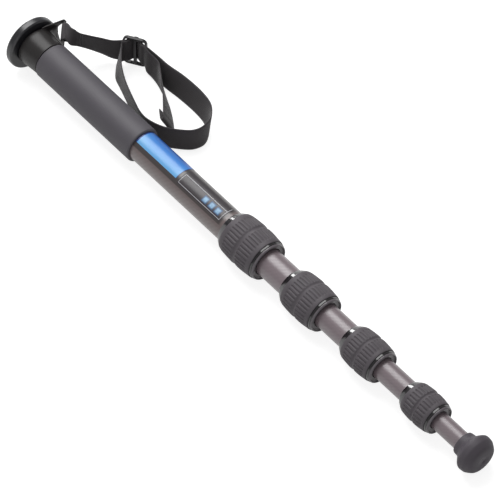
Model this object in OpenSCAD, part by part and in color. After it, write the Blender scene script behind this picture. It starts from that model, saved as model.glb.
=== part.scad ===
// Carbon camera monopod, stored and lying on its side with its wrist strap beside it.
// The origin is the middle of the plate's mounting face, +X runs along the tubes to the foot,
// +Z is up and the strap lies on the +Y side. All sizes are in millimetres.

/* [Tubes] */
// Outer diameter of the top tube
tube_d = 28; // [26:0.5:32]
// Drop in outer diameter from one tube to the next
tube_drop = 3; // [2.8:0.1:3.4]
// Wall of every tube
tube_wall = 1; // [0.8:0.1:1.1]

/* [Head] */
// Diameter of the camera plate
plate_d = 49.2; // [44:0.2:60]
// Thickness of the camera plate without its pad
plate_t = 7.6; // [6:0.2:10]
// Diameter of the grip pad
pad_d = 42; // [30:1:43]
// How far the pad stands out of the plate
pad_proud = 0.5; // [0.3:0.1:1]
// Depth of the pad's recess in the plate
pad_recess = 1; // [0.6:0.1:1.6]
// Major diameter of the camera screw
stud_d = 9.525; // [6.35, 9.525]
// How far the camera screw stands out of the pad
stud_out = 5; // [4.5:0.5:6.5]
// Thickness of the head collar over the tube at the plate
collar_t = 3.3; // [2.9:0.1:5]
// Thickness of the head collar over the tube at the grip
collar_end_t = 1.9; // [1.7:0.1:2.8]
// Length of the head collar
collar_len = 21.5; // [20:0.5:26]

/* [Handle] */
// Length of the foam grip
foam_len = 122.5; // [90:0.5:125]
// Thickness of the foam grip
foam_t = 2.55; // [2:0.05:4.5]
// Length of the plain label
blue_len = 51.5; // [40:0.5:54]
// Length of the framed label
info_len = 54; // [40:0.5:56]
// Bare tube between the framed label and the first lock
bare_len = 4.8; // [2:0.1:30]

/* [Locks] */
// Length of the rubber on the first lock
grip_len_1 = 37.5; // [34:0.5:42]
// Length of the rubber on the second lock
grip_len_2 = 33.5; // [31:0.5:40]
// Length of the rubber on the third lock
grip_len_3 = 30.5; // [28:0.5:38]
// Length of the rubber on the fourth lock
grip_len_4 = 27; // [26:0.5:36]
// Thickness of the rubber at its fullest
grip_t = 2.7; // [2.2:0.1:3.4]
// Length of the collet in the first lock
collet_len_1 = 15; // [12:0.5:16]
// Length of the collet in the second lock
collet_len_2 = 14; // [11:0.5:15]
// Length of the collet in the third lock
collet_len_3 = 13; // [10:0.5:14]
// Length of the collet in the fourth lock
collet_len_4 = 12; // [9:0.5:13]

/* [Legs as shown] */
// Second tube showing below the first lock
stub_1 = 25.3; // [4:0.1:60]
// Third tube showing below the second lock
stub_2 = 26; // [4:0.1:60]
// Fourth tube showing below the third lock
stub_3 = 27.4; // [4:0.1:60]
// Fifth tube showing below the fourth lock
stub_4 = 22.6; // [4:0.1:60]
// Travel left in the second tube
travel_1 = 230; // [200:1:231]
// Travel left in the third tube
travel_2 = 250; // [210:1:275]
// Travel left in the fourth tube
travel_3 = 270; // [220:1:295]
// Travel left in the fifth tube
travel_4 = 280; // [230:1:340]

/* [Foot] */
// Widest diameter of the rubber foot
foot_d = 33.4; // [30:0.2:44]
// Length of the rubber foot
foot_len = 25; // [23:0.5:36]

/* [Strap] */
// Thickness of the webbing
web_t = 1.2; // [0.9:0.1:1.3]
// Width of the webbing
web_w = 25; // [22:0.5:26]

/* [Hidden] */

// Smoothness of round shapes
fine = 96;
// Overlap of a cut with the open space beyond it
cut = 1;

// Clearances
fit = 0.05;          // glued, threaded and clamped fits, on the radius
slip = 0.1;          // pieces that slide or turn on each other, on the radius
face_gap = 0.15;     // end faces of two bodies that meet when a lock is tight

// Colours
black = [0.06, 0.06, 0.065];
satin_black = [0.10, 0.10, 0.11];
carbon = [0.13, 0.12, 0.13];
foam_grey = [0.16, 0.16, 0.17];
rubber_grey = [0.20, 0.19, 0.20];
web_black = [0.12, 0.12, 0.125];

// Plate and collar
collar_d = tube_d + 2 * collar_t;
collar_end_d = tube_d + 2 * collar_end_t;
plate_r = plate_d / 2;
plate_back = pad_proud + plate_t;
plate_front_round = 2.5;
plate_back_round = 1.8;
groove_w = 0.9;                    // shadow groove between plate and collar
plate_in = 0.4;                    // depth of the shadow groove below the collar's end
tube_inset = 0.6;                  // plate's spigot below the tube's bore
groove_r = collar_end_d / 2 - plate_in;
collar_x = plate_back + groove_w;
collar_end = collar_x + collar_len;
spigot_r = tube_d / 2 - tube_wall - tube_inset;
spigot_len = 11.5;
spigot_end = collar_x + spigot_len;
stud_r = stud_d / 2;
stud_in = 12;                      // length of the big thread inside the plate
small_thread_r = 3.175;
small_thread_len = 6;
stud_chamfer = 0.5;
stud_relief = 0.6;                 // depth of the groove at the screw's root
stud_relief_len = 1;
tube_stop_t = 1;                   // collar shoulder that the tube is pushed against
tube_start = spigot_end + fit + tube_stop_t;
grub_r = 2;
grub_back = 6;                     // grub screw's axis from the collar's end
grub_x = collar_x + grub_back;
grub_roll = -115;                  // the screw is on the side that the strap ear faces away from
collar_r = collar_d / 2;
collar_end_r = collar_end_d / 2;
collar_chamfer = 0.5;
collar_profile = [[0.19, 0.93], [0.7, 0.21]];   // share of the length and of the narrowing
stop_lip = 1;                      // collar shoulder inside the tube's wall

// Strap ear, drawn in a plane through the axis: the first number is along the tube,
// the second is the distance from the axis
ear_roll = 25;
ear_x = collar_x + 0.3;
ear_tip_x = 4.4;                   // outer end of the ear's bar, from the collar's end
ear_tip_out = 14.7;                // and from the collar's surface
ear_tip = [collar_x + ear_tip_x, collar_r + ear_tip_out];
ear_foot = [collar_end - 1.3, collar_end_r - 0.9];
ear_corner = ear_tip + [-0.8, 1.2];
ear_round = 2;
ear_t = 2.4;
ear_rib_t = 1.4;
ear_rib_root = 3;                  // where the rib's lower side meets the collar
ear_flat = 8;                      // width of the thin part, from the outer edge
ear_hollow = 12;                   // radius of the hollow between thin part and collar
ear_reach = 30;
ear_along = (ear_foot - ear_tip) / norm(ear_foot - ear_tip);
ear_out = [-ear_along[1], ear_along[0]];
bar_w = 2;                         // bar that the webbing goes round
bar_from = 1.5;                    // ends of the slot along the bar
bar_to = 19.5;
slot_points = [for (p = [[0.5, -1.8], [-1.4, -4.6], [-1.2, -6.6], [3.6, -10.8], [8.5, -13.3],
    [12, -13.8]]) ear_tip + p];

// Handle
foam_x = collar_end + 0.5;
foam_end = foam_x + foam_len;
foam_r = tube_d / 2 + foam_t;
foam_round = 1.6;
label_t = 0.12;
skin = 0.01;                       // glue under the labels and the shims
blue_x = foam_end + 0.3;
blue_roll = 3;
blue_span = 119;
info_x = blue_x + blue_len + 2.6;
info_roll = 61.6;
info_span = 68.4;

// Radius and bore of tube n
function tube_r(n) = (tube_d - tube_drop * (n - 1)) / 2;
function bore_r(n) = tube_r(n) - tube_wall;

// Lock n clamps tube n + 1 in tube n
taper_len = 5.5;
ring_len = 2.2;
lip_len = 3.8;
mouth_len = 1.8;                   // ferrule's rim that shows at the mouth of the nut
mouth_rim = 0.5;
thread_t = 1.6;                    // ferrule's wall over the tube
nut_t = 1.55;                      // nut's wall over the ferrule
end_wall = 2.6;                    // nut's wall under the collet
taper_rise = 1;                    // how far the nut's ends stand out over its core
ring_rise = 0.85;
ring_round = 0.4;
leg_gap = 1.2;                     // nut's opening round the next tube
collet_gap = 0.6;
collet_slack = 0.3;                // collet below the thread's crest
collet_end_t = 1.1;
cone_len = 5;
split_w = 1.2;
split_from = 2.5;
split_to = 1.5;
ferrule_lip = 1.2;
seal_gap = 0.35;                   // brush seal round the next tube
seal_in = 1.2;
lip_rise = 0.4;
lip_profile = [[0, 0], [0.42, 0.3], [0.76, 1.3], [1, 2.6]];   // share of the length, depth
shim_len = 14;
shim_play = 0.08;
shim_split = 20;                   // opening between the two half shells, in degrees
travel_play = 0.3;
grip_lens = [grip_len_1, grip_len_2, grip_len_3, grip_len_4];
collet_lens = [collet_len_1, collet_len_2, collet_len_3, collet_len_4];
stubs = [stub_1, stub_2, stub_3, stub_4];
travels = [travel_1, travel_2, travel_3, travel_4];
function nut_len(n) = taper_len + grip_lens[n - 1] + ring_len;
function lock_len(n) = nut_len(n) + lip_len;
function lock_x(n) = n == 1 ? info_x + info_len + bare_len : lock_x(n - 1) + lock_len(n - 1) + stubs[n - 2];
function lock_end(n) = lock_x(n) + lock_len(n);
function thread_r(n) = tube_r(n) + thread_t;
function core_r(n) = thread_r(n) + fit + nut_t;
function collet_x(n) = lock_x(n) + nut_len(n) - end_wall - collet_lens[n - 1];
function ferrule_end(n) = collet_x(n) - collet_gap;
function tube_end(n) = ferrule_end(n) - ferrule_lip;
function leg_start(n) = tube_end(n - 1) - travel_play - shim_len - travels[n - 2];

// Foot
foot_x = lock_end(4) + stubs[3];
foot_end = foot_x + foot_len;
leg_in_foot = 3.5;
last_tube_end = foot_x + leg_in_foot;
insert_wall = 2.1375;              // insert's wall between the tube's bore and the foot's screw
foot_screw_r = bore_r(5) - insert_wall - 2 * fit;
foot_screw_in = 12;
insert_len = 20;
insert_flange = 0.8;
screw_head_rim = 4.2375;           // how far the screw's head stands out over its thread
screw_head_r = foot_screw_r + screw_head_rim;
screw_head_t = 3;
screw_stem = 6;
screw_head_x = last_tube_end + insert_flange + screw_stem;
foot_r = foot_d / 2;
neck_t = 2.2;
neck_r = tube_r(5) + neck_t;
neck_round = 0.6;
// Foot's neck and bulb: share of the length, then growth of the neck or depth below the bulb
neck_profile = [[0, -neck_round], [0.03, 0], [0.24, 0.45]];
bulb_profile = [[0.31, 5.2], [0.38, 2.75], [0.45, 0.9], [0.51, 0.05], [0.58, 0], [0.72, 0.3],
    [0.78, 0.45], [0.85, 1.3], [0.92, 2.35], [0.96, 3.6], [0.992, 8], [1, 9]];

// The surface that the monopod lies on touches the plate's rim and the foot
rest_foot_x = foot_x + 0.55 * foot_len;
rest_slope = (plate_r - foot_r) / (rest_foot_x - plate_back + plate_back_round);
function rest_z(x) = -plate_r + rest_slope * x;

// Strap slider: middle, direction along the strap and direction towards the tube
slider_x = 63.3;
slider_y = 65.2;
slider_turn = 32;
slider_w = 21.6;
slider_rim = 3.75;                 // how far the slider stands out over the webbing's edges
slider_h = web_w + 2 * slider_rim;
slider_t = 3;
slider_rail = 1.8;
slider_bar = 2.6;
slider_end_bar = 1.9;
slider_corner = 5;
slider_lift = 0.2;
slider_hole_corner = 1.4;
web_gap = 0.4;
web_clear = 0.6;                   // webbing clear of the slider's rails
web_top_gap = 1;                   // webbing's upper edge below the slider's upper bar
weave = slider_t / 2 + web_clear + web_t + web_gap / 2;   // height of the two strands over the rails
strand = (web_t + web_gap) / 2;                      // from the middle of the pair to one strand
rail_at = slider_w / 2 - slider_rail / 2;
function slider_point(along, out) =
    [slider_x + along * cos(slider_turn) + out * sin(slider_turn),
     slider_y + along * sin(slider_turn) - out * cos(slider_turn)];
// Stations of one strand through the slider, from along one rail to the other
function weave_row(along, side) =
    let (phase = 180 * along / rail_at,
         out = -weave * cos(phase),
         slope = atan(weave * sin(phase) * PI / rail_at),
         p = slider_point(along - side * strand * sin(slope), out + side * strand * cos(slope)))
    [p[0], p[1], web_lift, 0, 0, 1, web_w];
web_lift = slider_lift + slider_h - slider_end_bar - web_top_gap - web_w;
weave_steps = [-1, -0.75, -0.5, -0.25, 0, 0.25, 0.5, 0.75, 1];

// Route of the webbing: place of its lower edge, height of that edge over the resting
// surface, direction of its width, and width
ear_fold = 9.6;                    // webbing's loss of width where it goes round the bar
ear_w = web_w - ear_fold;
bar_mid = 10.2;                    // middle of the webbing along the bar
ear_mid = ear_tip + ear_round * ear_out + bar_mid * ear_along;
// Webbing round the bar: out from the bar's outer edge and up from the plate's middle
function ear_place(x, r, up) =
    [x, r * cos(ear_roll) - up * sin(ear_roll), r * sin(ear_roll) + up * cos(ear_roll)];
function bar_row(out, up) =
    let (m = ear_mid + out * ear_out,
         lean = ear_place(-ear_along[0], -ear_along[1], 0),
         p = ear_place(m[0], m[1], up) - lean * ear_w / 2)
    [p[0], p[1], p[2] - rest_z(p[0]), lean[0], lean[1], lean[2], ear_w];
route = concat(
    [[29.4, 31.4, 20, 0.15, -0.12, 1, ear_w],
     [29.6, 27.2, 23.8, -0.1, 0.1, 1, ear_w],
     bar_row(3, -4.2), bar_row(0, -2.6), bar_row(-1.5, -2.05), bar_row(-2.6, -1.4),
     bar_row(-2.85, 0),
     bar_row(-2.6, 1.4), bar_row(-1.4, 2), bar_row(-0.1, 1.95), bar_row(1.2, 1),
     [31.2, 21, 28.6, -0.4, 0.4, 0.8, ear_w],
     [31.6, 25.5, 24.6, -0.1, 0.1, 1, ear_w + 1.5],
     [31, 30, 20.2, 0.12, -0.1, 1, ear_w + 5],
     [34, 38.6, 13, 0.16, -0.12, 1, ear_w + 7.6],
     [41, 46.5, 7.6, 0.12, -0.08, 1, ear_w + 8.4],
     [48.6, 52.8, 3.4, 0.05, -0.05, 1, web_w]],
    [for (k = weave_steps) weave_row(k * rail_at, -1)],
    [[80.5, 67, 3.4, 0.03, 0.1, 1, web_w],
     [88.5, 67.2, 1.2, 0.03, 0.16, 1, web_w],
     [99.5, 66.9, 0.3, 0.03, 0.21, 1, web_w],
     [118, 68.3, 0.2, 0, 0.25, 1, web_w],
     [138, 68.5, 0.2, 0.05, 0.25, 1, web_w],
     [153, 66.5, 0.2, 0.1, 0.2, 1, web_w],
     [165, 60.5, 0.2, 0.05, 0.1, 1, web_w],
     [170.5, 52, 0.2, 0, 0, 1, web_w],
     [169.5, 43, 0.2, 0, 0, 1, web_w],
     [164, 35.5, 0.2, 0, 0, 1, web_w],
     [152, 26, 0.2, 0, 0, 1, web_w],
     [138, 20.8, 0.2, 0, 0, 1, web_w],
     [126, 20.5, 0.2, 0, 0, 1, web_w],
     [110, 25.5, 0.2, 0, 0, 1, web_w],
     [92, 32.3, 0.2, 0, 0, 1, web_w],
     [77, 37.6, 0.2, 0.05, 0.07, 1, web_w],
     [67, 41, 0.4, 0.11, 0.17, 1, web_w],
     [60.4, 46, 1.2, 0.15, 0.16, 1, web_w],
     [55.8, 51.8, 3.4, 0.14, 0.1, 1, web_w]],
    [for (k = weave_steps) weave_row(k * rail_at, 1)],
    [[79.5, 64.5, 3.8, 0.03, 0.08, 1, web_w],
     [86, 64.8, 2.2, 0.02, 0.1, 1, web_w],
     [92, 64.4, 1.2, 0.03, 0.1, 1, web_w],
     [98, 63, 0.8, 0, 0.04, 1, web_w],
     [105, 60.8, 0.7, -0.04, -0.04, 1, web_w],
     [113, 58.4, 0.7, -0.1, -0.14, 1, web_w],
     [123.6, 54, 0.8, -0.12, -0.24, 1, web_w],
     [134, 48, 1.3, -0.12, -0.34, 1, web_w],
     [142, 42.6, 1.5, -0.1, -0.42, 1, web_w],
     [143.8, 40.6, 1, -0.1, -0.44, 1, web_w],
     [142.6, 39.7, 0.5, -0.1, -0.44, 1, web_w],
     [139.8, 41.4, 0.3, -0.1, -0.44, 1, web_w],
     [133.4, 45.8, 0.2, -0.1, -0.44, 1, web_w]]);
route_steps = 2;

// Point at share t of the way from row i to row i + 1, on a smooth curve through all rows
function blend(rows, i, t) =
    let (last = len(rows) - 1,
         a = rows[max(i - 1, 0)],
         b = rows[i],
         c = rows[min(i + 1, last)],
         d = rows[min(i + 2, last)])
    0.5 * (2 * b + (c - a) * t + (2 * a - 5 * b + 4 * c - d) * t * t
        + (3 * b - a - 3 * c + d) * t * t * t);
function stations(rows, steps) = concat(
    [for (i = [0 : len(rows) - 2]) for (k = [0 : steps - 1]) blend(rows, i, k / steps)],
    [rows[len(rows) - 1]]);
function unit(v) = v / norm(v);

// Turned ring or bar about the X axis from pairs of place along X and radius
module turned(points) {
    rotate([0, 90, 0])
        rotate([0, 0, 90])
            rotate_extrude($fn = fine)
                polygon([for (p = points) [p[1], p[0]]]);
}

// Plain tube about the X axis
module pipe(x0, x1, outer, inner) {
    turned([[x0, inner], [x1, inner], [x1, outer], [x0, outer]]);
}

// Part of a thin tube, from one roll angle, through a span
module shell(x0, x1, outer, inner, roll, span) {
    rotate([roll, 0, 0])
        rotate([90, 0, 90])
            translate([0, 0, x0])
                rotate_extrude(angle = span, $fn = fine)
                    translate([inner, 0])
                        square([outer - inner, x1 - x0]);
}

// Points of a quarter round from one angle to another
function arc(x, r, round, from, to, n) =
    [for (k = [0 : n]) let (a = from + (to - from) * k / n) [x + round * cos(a), r + round * sin(a)]];

module top_plate() {
    color(satin_black)
        turned(concat(
            [[pad_proud + pad_recess, stud_r + fit],
             [pad_proud + pad_recess, pad_d / 2 + fit],
             [pad_proud, pad_d / 2 + fit]],
            arc(pad_proud + plate_front_round, plate_r - plate_front_round, plate_front_round, 180, 90, 6),
            arc(plate_back - plate_back_round, plate_r - plate_back_round, plate_back_round, 90, 0, 5),
            [[plate_back, groove_r],
             [collar_x, groove_r],
             [collar_x, spigot_r],
             [spigot_end, spigot_r],
             [spigot_end, stud_r + fit]]));
}

module plate_pad() {
    color(black)
        pipe(0, pad_proud + pad_recess, pad_d / 2, stud_r + slip);
}

module camera_screw() {
    color("silver")
        turned([[-stud_out, 0],
            [-stud_out, stud_r - stud_chamfer],
            [-stud_out + stud_chamfer, stud_r],
            [0, stud_r],
            [0, stud_r - stud_relief],
            [stud_relief_len, stud_r - stud_relief],
            [stud_relief_len, stud_r],
            [stud_in, stud_r],
            [stud_in, small_thread_r],
            [stud_in + small_thread_len - stud_chamfer, small_thread_r],
            [stud_in + small_thread_len, small_thread_r - stud_chamfer],
            [stud_in + small_thread_len, 0]]);
}

module plate_grub_screw() {
    color("dimgray")
        rotate([grub_roll, 0, 0])
            translate([grub_x, spigot_r + fit, 0])
                rotate([-90, 0, 0])
                    cylinder(r = grub_r, h = groove_r - spigot_r - fit, $fn = fine);
}

// Rib along the front edge of the ear: it leaves the upper side of the collar as a tangent
module ear_rib() {
    tangent = acos((collar_r - ear_round) / norm(ear_tip));
    edge = [cos(tangent), sin(tangent)];
    rim = ear_tip[1] + ear_round;
    intersection() {
        rotate([90, 0, 90])
            linear_extrude(ear_foot[0])
                polygon([[0, 0],
                    collar_r * edge,
                    [ear_tip[1], 0] + ear_round * edge,
                    [rim, ear_t / 2],
                    [rim, -ear_t / 2],
                    [collar_r + ear_rib_root, -ear_t / 2],
                    [collar_r - 1, -2 * ear_t]]);
        translate([0, 0, -ear_reach])
            linear_extrude(2 * ear_reach)
                polygon([[ear_x, tube_d / 2],
                    [ear_x, collar_r],
                    ear_corner,
                    ear_corner + [ear_rib_t, 0],
                    [ear_x + ear_rib_t, collar_r],
                    [ear_x + ear_rib_t, tube_d / 2]]);
    }
}

// Thin plate of the ear, seen square to it, which widens in a hollow curve into the collar
module ear_plate() {
    edge = ear_tip + ear_round * ear_out;
    intersection() {
        translate([0, 0, -ear_reach])
            linear_extrude(2 * ear_reach)
                polygon([[ear_x, tube_d / 2],
                    [ear_x, collar_r],
                    ear_corner,
                    edge,
                    ear_foot + ear_round * ear_out,
                    [ear_foot[0], tube_d / 2]]);
        translate([edge[0], edge[1], 0])
            rotate([0, 0, atan2(ear_out[1], ear_out[0])])
                rotate([90, 0, 0])
                    translate([0, 0, -2 * ear_reach])
                        linear_extrude(4 * ear_reach)
                            polygon(concat(
                                [[0, -ear_t / 2], [0, ear_t / 2]],
                                [for (a = [0 : 15 : 75]) ear_hollow_at(a, 1)],
                                [for (a = [75 : -15 : 0]) ear_hollow_at(a, -1)]));
    }
}
function ear_hollow_at(a, side) =
    [-ear_flat - ear_hollow * sin(a), side * (ear_t / 2 + ear_hollow * (1 - cos(a)))];

module ear_slot() {
    inner_edge = ear_tip + ear_out * (ear_round - bar_w);
    translate([0, 0, -ear_reach])
        linear_extrude(2 * ear_reach)
            polygon(concat(slot_points,
                [inner_edge + ear_along * bar_to, inner_edge + ear_along * bar_from]));
}

module head_collar() {
    color(satin_black)
        difference() {
            union() {
                turned(concat(
                    [[collar_x, 0],
                     [collar_x, collar_r - collar_chamfer],
                     [collar_x + collar_chamfer, collar_r]],
                    [for (p = collar_profile)
                        [collar_x + p[0] * collar_len, collar_end_r + p[1] * (collar_r - collar_end_r)]],
                    [[collar_end, collar_end_r],
                     [collar_end, 0]]));
                rotate([ear_roll, 0, 0])
                    union() {
                        ear_rib();
                        difference() {
                            ear_plate();
                            ear_slot();
                        }
                    }
            }
            turned([[collar_x - cut, 0],
                [collar_x - cut, spigot_r + fit],
                [spigot_end + fit, spigot_r + fit],
                [spigot_end + fit, spigot_r - stop_lip],
                [tube_start, spigot_r - stop_lip],
                [tube_start, tube_d / 2 + fit],
                [collar_end + cut, tube_d / 2 + fit],
                [collar_end + cut, 0]]);
            rotate([grub_roll, 0, 0])
                translate([grub_x, 0, 0])
                    rotate([-90, 0, 0])
                        cylinder(r = grub_r + fit, h = collar_d, $fn = fine);
        }
}

module top_tube() {
    color(carbon)
        pipe(tube_start, tube_end(1), tube_r(1), bore_r(1));
}

module foam_grip() {
    color(foam_grey)
        turned(concat(
            [[foam_end, tube_r(1) + fit],
             [foam_x, tube_r(1) + fit]],
            arc(foam_x + foam_round, foam_r - foam_round, foam_round, 180, 90, 5),
            arc(foam_end - foam_round, foam_r - foam_round, foam_round, 90, 0, 5)));
}

module blue_label() {
    color("royalblue")
        shell(blue_x, blue_x + blue_len, tube_r(1) + skin + label_t, tube_r(1) + skin,
            blue_roll, blue_span);
}

module info_label() {
    color("black")
        shell(info_x, info_x + info_len, tube_r(1) + skin + label_t, tube_r(1) + skin,
            info_roll, info_span);
}

// Four corners of the webbing at station i
function web_corners(rows, i) =
    let (row = rows[i],
         foot = [row[0], row[1], rest_z(row[0]) + row[2]],
         lean = unit([row[3], row[4], row[5]]),
         before = rows[max(i - 1, 0)],
         after = rows[min(i + 1, len(rows) - 1)],
         ahead = [after[0] - before[0], after[1] - before[1],
             rest_z(after[0]) + after[2] - rest_z(before[0]) - before[2]],
         side = unit(cross(ahead, lean)) * web_t / 2,
         top = foot + lean * row[6])
    [foot - side, foot + side, top + side, top - side];

module wrist_strap() {
    rows = stations(route, route_steps);
    last = len(rows) - 1;
    points = [for (i = [0 : last]) for (p = web_corners(rows, i)) p];
    sides = [for (i = [0 : last - 1]) for (k = [0 : 3])
        let (a = 4 * i + k, b = 4 * i + (k + 1) % 4)
        each [[a, b + 4, a + 4], [a, b, b + 4]]];
    ends = [[0, 2, 1], [0, 3, 2],
        [4 * last, 4 * last + 1, 4 * last + 2], [4 * last, 4 * last + 2, 4 * last + 3]];
    color(web_black)
        polyhedron(points, concat(sides, ends));
}

// Outline with round corners
module rounded_outline(w, h, r) {
    for (x = [-1, 1], y = [-1, 1])
        translate([x * (w / 2 - r), y * (h / 2 - r)])
            circle(r = r, $fn = fine);
    square([w - 2 * r, h], center = true);
    square([w, h - 2 * r], center = true);
}

module strap_slider() {
    slot_w = rail_at - slider_rail / 2 - slider_bar / 2;
    slot_h = slider_h - 2 * slider_end_bar;
    color(black)
        translate([slider_x, slider_y, rest_z(slider_x) + slider_lift + slider_h / 2])
            rotate([90, 0, slider_turn])
                translate([0, 0, -slider_t / 2])
                    linear_extrude(slider_t)
                        difference() {
                            rounded_outline(slider_w, slider_h, slider_corner);
                            for (x = [-1, 1])
                                translate([x * (slider_bar / 2 + slot_w / 2), 0])
                                    rounded_outline(slot_w, slot_h, slider_hole_corner);
                        }
}

module thread_ferrule(n) {
    x = lock_x(n);
    color(black)
        turned([[x, tube_r(n) + fit],
            [x, tube_r(n) + mouth_rim],
            [x + mouth_len, thread_r(n)],
            [ferrule_end(n), thread_r(n)],
            [ferrule_end(n), tube_r(n + 1) + slip],
            [tube_end(n) + fit, tube_r(n + 1) + slip],
            [tube_end(n) + fit, tube_r(n) + fit]]);
}

// Split clamping ring with a cone that the nut presses on
module collet(n) {
    x = collet_x(n);
    end = x + collet_lens[n - 1];
    color("gainsboro")
        difference() {
            turned([[x, tube_r(n + 1) + fit],
                [x, thread_r(n) - collet_slack],
                [end - cone_len, thread_r(n) - collet_slack],
                [end, tube_r(n + 1) + collet_end_t],
                [end, tube_r(n + 1) + fit]]);
            for (roll = [0, 180])
                rotate([roll, 0, 0])
                    translate([x + split_from, 0, -split_w / 2])
                        cube([end - x, tube_d, split_w]);
            rotate([90, 0, 0])
                translate([x - cut, 0, -split_w / 2])
                    cube([end - x - split_to, tube_d, split_w]);
        }
}

module lock_collar(n) {
    mouth = lock_x(n) + mouth_len + face_gap;
    grip_x = lock_x(n) + taper_len;
    ring_x = grip_x + grip_lens[n - 1];
    end = ring_x + ring_len;
    seat = collet_x(n) + collet_lens[n - 1] + face_gap;
    bore = thread_r(n) + fit;
    core = core_r(n);
    color(black)
        turned([[mouth, bore],
            [mouth, bore + mouth_rim],
            [grip_x, core + taper_rise],
            [grip_x, core],
            [ring_x, core],
            [ring_x, core + ring_rise],
            [end - ring_round, core + ring_rise],
            [end, core + ring_rise - ring_round],
            [end, tube_r(n + 1) + leg_gap],
            [seat, tube_r(n + 1) + leg_gap],
            [seat - cone_len, bore]]);
}

// Rubber profile: share of the length and how far below the fullest radius
rubber_profile = [[0, 1.7], [0.03, 1.4], [0.07, 0.95], [0.165, 0.7], [0.26, 0.35], [0.41, 0],
    [0.51, 0.6], [0.66, 0.05], [0.79, 0.35], [0.9, 0.8], [0.98, 0.95], [1, 1.2]];

module lock_grip(n) {
    x = lock_x(n) + taper_len;
    length = grip_lens[n - 1];
    full_r = core_r(n) + grip_t;
    color(rubber_grey)
        turned(concat(
            [[x + length, core_r(n) + fit],
             [x, core_r(n) + fit]],
            [for (p = rubber_profile) [x + p[0] * length, full_r - p[1]]]));
}

module dust_seal(n) {
    x = lock_x(n) + nut_len(n);
    inner = tube_r(n + 1) + seal_gap;
    seat = tube_r(n + 1) + leg_gap - fit;
    color("darkgray")
        turned(concat(
            [[x + lip_len, inner],
             [x - seal_in, inner],
             [x - seal_in, seat],
             [x, seat]],
            [for (p = lip_profile) [x + p[0] * lip_len, core_r(n) + lip_rise - p[1]]]));
}

module leg_tube(n) {
    color(carbon)
        pipe(leg_start(n), n == 5 ? last_tube_end : tube_end(n), tube_r(n), bore_r(n));
}

module anti_twist_shims(n) {
    x = leg_start(n);
    color("white")
        for (roll = [0, 180])
            shell(x, x + shim_len, bore_r(n - 1) - shim_play, tube_r(n) + skin,
                roll + shim_split / 2, 180 - shim_split);
}

module foot_insert() {
    inner = foot_screw_r + fit;
    color("silver")
        turned([[last_tube_end - insert_len, inner],
            [last_tube_end - insert_len, bore_r(5) - fit],
            [last_tube_end, bore_r(5) - fit],
            [last_tube_end, tube_r(5)],
            [last_tube_end + insert_flange, tube_r(5)],
            [last_tube_end + insert_flange, inner]]);
}

module foot_screw() {
    x = last_tube_end + insert_flange - foot_screw_in;
    color("silver")
        turned([[x, 0],
            [x, foot_screw_r - stud_chamfer],
            [x + stud_chamfer, foot_screw_r],
            [screw_head_x, foot_screw_r],
            [screw_head_x, screw_head_r],
            [screw_head_x + screw_head_t, screw_head_r],
            [screw_head_x + screw_head_t, 0]]);
}

module rubber_foot() {
    seat = last_tube_end + insert_flange + face_gap;
    color(black)
        turned(concat(
            [[foot_x, tube_r(5) + slip]],
            [for (p = neck_profile) [foot_x + p[0] * foot_len, neck_r + p[1]]],
            [for (p = bulb_profile) [foot_x + p[0] * foot_len, foot_r - p[1]]],
            [[foot_end, 0],
             [screw_head_x + screw_head_t + fit, 0],
             [screw_head_x + screw_head_t + fit, screw_head_r + fit],
             [screw_head_x - fit, screw_head_r + fit],
             [screw_head_x - fit, foot_screw_r + fit],
             [seat, foot_screw_r + fit],
             [seat, tube_r(5) + slip]]));
}

top_plate();
plate_pad();
camera_screw();
plate_grub_screw();
head_collar();
top_tube();
foam_grip();
blue_label();
info_label();
wrist_strap();
strap_slider();
thread_ferrule(1);  // thread_ferrule_1
thread_ferrule(2);  // thread_ferrule_2
thread_ferrule(3);  // thread_ferrule_3
thread_ferrule(4);  // thread_ferrule_4
collet(1);  // collet_1
collet(2);  // collet_2
collet(3);  // collet_3
collet(4);  // collet_4
lock_collar(1);  // lock_collar_1
lock_collar(2);  // lock_collar_2
lock_collar(3);  // lock_collar_3
lock_collar(4);  // lock_collar_4
lock_grip(1);  // lock_grip_1
lock_grip(2);  // lock_grip_2
lock_grip(3);  // lock_grip_3
lock_grip(4);  // lock_grip_4
dust_seal(1);  // dust_seal_1
dust_seal(2);  // dust_seal_2
dust_seal(3);  // dust_seal_3
dust_seal(4);  // dust_seal_4
leg_tube(2);  // leg_tube_2
leg_tube(3);  // leg_tube_3
leg_tube(4);  // leg_tube_4
leg_tube(5);  // leg_tube_5
anti_twist_shims(2);  // anti_twist_shims_2
anti_twist_shims(3);  // anti_twist_shims_3
anti_twist_shims(4);  // anti_twist_shims_4
anti_twist_shims(5);  // anti_twist_shims_5
foot_insert();
foot_screw();
rubber_foot();
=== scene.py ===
"""Looks of a camera monopod that lies on its side with its wrist strap beside it.

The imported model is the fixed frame: +X runs along the tubes from the camera plate to the
foot, +Z is up, and the strap lies on the +Y side. Lengths are in metres, and only those
of the wrist strap and its resting plane are in millimetres. Noise scales are in features
per metre.
"""

from __future__ import annotations

import logging
import math
from abc import ABC, abstractmethod
from collections.abc import Callable, Sequence
from dataclasses import dataclass
from enum import Enum
from functools import cache

import bmesh
import bpy
import numpy as np
from mathutils import Matrix, Vector


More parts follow.
